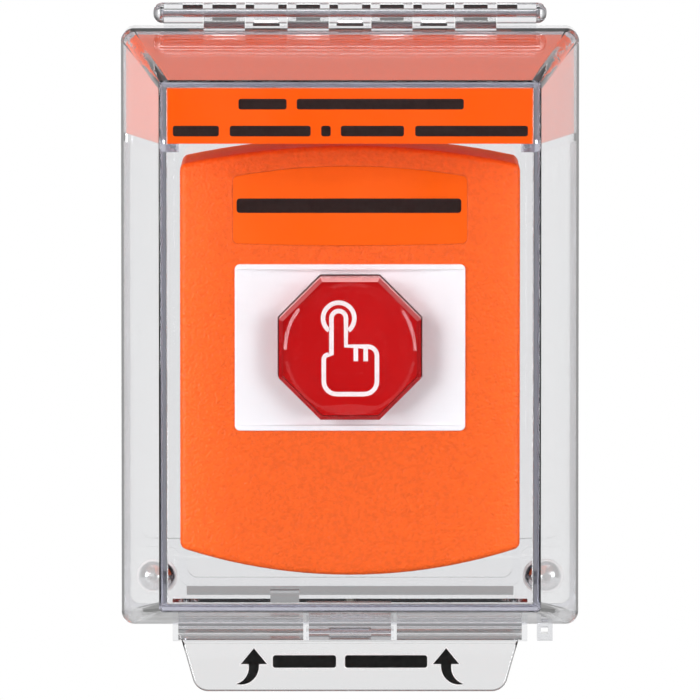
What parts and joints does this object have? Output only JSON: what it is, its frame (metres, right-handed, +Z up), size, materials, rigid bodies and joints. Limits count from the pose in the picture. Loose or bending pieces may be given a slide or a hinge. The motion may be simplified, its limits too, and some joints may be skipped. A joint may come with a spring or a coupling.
{
  "type": "manual call point",
  "caption": "Wall-mounted evacuation call point: orange station with a red push button, in a clear tray under a clear cover that hinges up at the top.",
  "frame": {"origin": "on the wall plane, at the middle of the back of the clear tray", "axes": "+Z up, +X to the right for a person facing it, +Y into the wall; the object stands out towards -Y"},
  "size_m": [0.128, 0.093, 0.1924],
  "materials": {
    "clear_shell": "clear moulded",
    "clear_lens": "clear moulded",
    "gasket": "matt foam",
    "bright_steel": "bright drawn",
    "spring_steel": "drawn wire",
    "domed_screw": "polished",
    "zinc_screw": "zinc plated",
    "nylon": "natural",
    "grey_plastic": "matt moulded",
    "orange_case": "fine pebble texture",
    "orange_label": "smooth satin",
    "orange_hood": "smooth gloss",
    "white_bezel": "satin",
    "red_insert": "satin",
    "red_body": "satin",
    "black_plastic": "matt moulded",
    "brass": "bright",
    "copper": "bright"
  },
  "bodies": {
    "base": {"back_tray": "clear_shell", "wall_gasket": "gasket", "hinge_pin": "bright_steel", "wall_screws": "domed_screw", "screw_washers": "nylon", "station_backplate": "grey_plastic", "box_screws": "zinc_screw", "station_housing": "orange_case", "housing_screw": "zinc_screw", "station_label": "orange_label", "button_bezel": "white_bezel", "bezel_screws": "zinc_screw", "plunger_guide": "grey_plastic", "switch_body": "black_plastic", "switch_lid": "black_plastic", "switch_terminals": "brass", "terminal_screws": "zinc_screw", "switch_screws": "zinc_screw", "return_spring": "spring_steel", "contact_spring": "spring_steel"},
    "cover": {"cover_shell": "clear_shell", "label_hood": "orange_hood"},
    "button": {"button_lens": "clear_lens", "button_insert": "red_insert", "button_body": "red_body", "plunger_stem": "nylon", "retaining_clip": "bright_steel"},
    "switch": {"switch_plunger": "nylon", "contact_bridge": "copper"}
  },
  "joints": [
    {"name": "cover_hinge", "type": "hinge", "parent": "base", "child": "cover", "pos_m": [0, -0.01615, 0.0879], "axis": [-1, 0, 0], "range_deg": [0, 110]},
    {"name": "button_press", "type": "slide", "parent": "base", "child": "button", "axis": [0, 1, 0], "range_m": [0, 0.004], "stiffness_N_per_m": 1500, "springref_m": -0.003, "deforming": ["return_spring"]},
    {"name": "switch_press", "type": "slide", "parent": "base", "child": "switch", "axis": [0, 1, 0], "range_m": [0, 0.004], "stiffness_N_per_m": 200, "springref_m": -0.002, "deforming": ["contact_spring"]}
  ],
  "couplings": [
    {"joint": "switch_press", "follows": "button_press", "ratio": 1}
  ]
}
